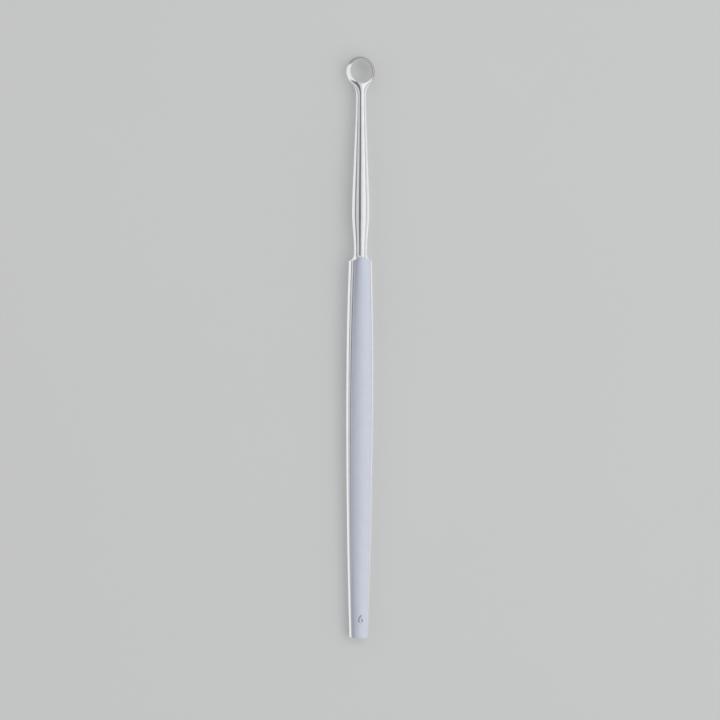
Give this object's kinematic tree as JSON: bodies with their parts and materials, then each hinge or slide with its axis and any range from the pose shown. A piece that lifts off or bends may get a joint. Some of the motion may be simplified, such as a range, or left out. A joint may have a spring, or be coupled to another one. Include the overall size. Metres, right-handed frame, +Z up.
{
  "type": "dermal curette",
  "caption": "Slim one-piece steel curette: a flat tapered handle, a polished round shank and an open round cutting loop for scraping skin.",
  "frame": {"origin": "on the bench surface that the flat back of the handle lies on, at the middle of the instrument's length and width", "axes": "+Z up from the bench, +Y along the instrument towards the cutting loop, +X across its width"},
  "size_m": [0.0074, 0.146, 0.0042],
  "materials": {
    "steel": "stainless steel, satin on the flat faces of the handle and mirror polished on its long edges, the cove, the shank and the loop"
  },
  "bodies": {
    "root": {"curette": "steel"}
  },
  "joints": []
}
